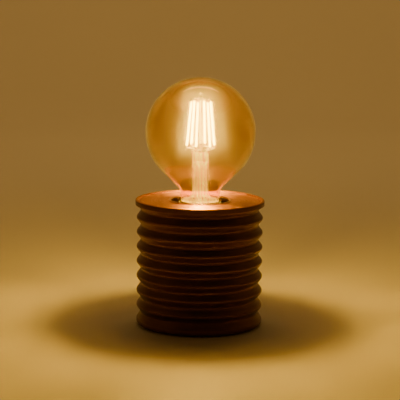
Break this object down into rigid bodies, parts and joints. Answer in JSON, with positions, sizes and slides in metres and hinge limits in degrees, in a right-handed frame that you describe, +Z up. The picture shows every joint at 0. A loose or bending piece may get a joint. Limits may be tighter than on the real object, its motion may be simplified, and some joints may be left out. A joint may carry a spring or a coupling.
{
  "type": "smart bulb table lamp",
  "caption": "Table lamp shaped like a light bulb: a smart LED filament globe bulb screws into a lampholder inside a ribbed metal base.",
  "frame": {"origin": "centre of the lamp's resting face, on the table", "axes": "+Z up along the axis of the base and the bulb, +Y to the rear where the cable inlet is, front faces -Y"},
  "size_m": [0.1124, 0.1124, 0.2168],
  "materials": {
    "bronzed_sleeve": "satin dark copper-brown over spun steel",
    "copper_plate": "satin copper-brown",
    "bright_copper": "polished copper-coloured eyelet",
    "zinc_steel": "zinc plated",
    "black_rubber": "matte",
    "cast_grey": "as cast",
    "plain_brass": "bright",
    "ivory_plastic": "moulded",
    "brown_insulation": "extruded",
    "blue_insulation": "extruded",
    "green_insulation": "extruded, green and yellow",
    "black_holder": "satin moulded",
    "white_ceramic": "unglazed steatite",
    "nickel_sleeve": "nickel plated brass",
    "spring_steel": "drawn wire",
    "black_glass": "glossy black insulator",
    "dark_collar": "satin moulded",
    "green_board": "solder mask",
    "blue_board": "solder mask",
    "capacitor_sleeve": "shrunk sleeve",
    "ferrite": "sintered",
    "chip_black": "moulded epoxy",
    "resistor_blue": "lacquered",
    "shield_tin": "tinned",
    "tinned_wire": "drawn nickel wire",
    "amber_glass": "clear with a light amber tint",
    "clear_glass": "clear",
    "lit_filament": "lit phosphor coating, 2200 K"
  },
  "bodies": {
    "base": {"ribbed_sleeve": "bronzed_sleeve", "top_plate": "copper_plate", "hole_ring": "bright_copper", "base_plate": "zinc_steel", "foot_pad": "black_rubber", "cast_weight": "cast_grey", "weight_screws": "zinc_steel", "sleeve_tabs": "zinc_steel", "tab_screws": "zinc_steel", "holder_bracket": "zinc_steel", "bracket_screws": "zinc_steel", "threaded_tube": "plain_brass", "toothed_washer": "zinc_steel", "tube_nut": "plain_brass", "inlet_grommet": "black_rubber", "terminal_block": "ivory_plastic", "terminal_tubes": "plain_brass", "block_screws": "zinc_steel", "live_wire": "brown_insulation", "neutral_wire": "blue_insulation", "earth_wire": "green_insulation", "earth_tag": "tinned_wire", "earth_screw": "plain_brass", "holder_dome": "black_holder", "holder_core": "white_ceramic", "holder_skirt": "black_holder", "holder_thread": "nickel_sleeve", "live_strip": "plain_brass", "neutral_strip": "plain_brass", "holder_screws": "plain_brass"},
    "plunger": {"contact_plunger": "plain_brass", "plunger_clip": "zinc_steel", "plunger_spring": "spring_steel"},
    "bulb_tip": {"cap_contact": "plain_brass"},
    "bulb": {"cap_insulator": "black_glass", "cap_shell": "nickel_sleeve", "neck_collar": "dark_collar", "driver_board": "green_board", "bulk_capacitor": "capacitor_sleeve", "choke": "ferrite", "bridge_rectifier": "chip_black", "driver_chip": "chip_black", "fuse_resistor": "resistor_blue", "radio_board": "blue_board", "radio_shield": "shield_tin", "board_leads": "tinned_wire", "glass_globe": "amber_glass", "stem_glass": "clear_glass", "exhaust_tube": "clear_glass", "lead_wires": "tinned_wire", "feed_wires": "tinned_wire", "filament_tabs": "tinned_wire", "glass_post": "clear_glass", "top_wires": "tinned_wire", "filament_1": "lit_filament", "filament_2": "lit_filament", "filament_3": "lit_filament", "filament_4": "lit_filament", "filament_5": "lit_filament", "filament_6": "lit_filament"}
  },
  "joints": [
    {"name": "plunger_press", "type": "slide", "parent": "base", "child": "plunger", "axis": [0, 0, 1], "range_m": [-0.0012, 0], "stiffness_N_per_m": 400, "springref_m": 0.002, "deforming": ["plunger_spring"]},
    {"name": "bulb_rise", "type": "slide", "parent": "base", "child": "bulb_tip", "axis": [0, 0, 1], "range_m": [0, 0.01815]},
    {"name": "bulb_turn", "type": "hinge", "parent": "bulb_tip", "child": "bulb", "pos_m": [0, 0, 0.11], "axis": [0, 0, 1], "range_deg": [0, 1800]}
  ],
  "couplings": [
    {"joint": "bulb_rise", "follows": "bulb_turn", "m_per_rad": 0.00057757}
  ]
}
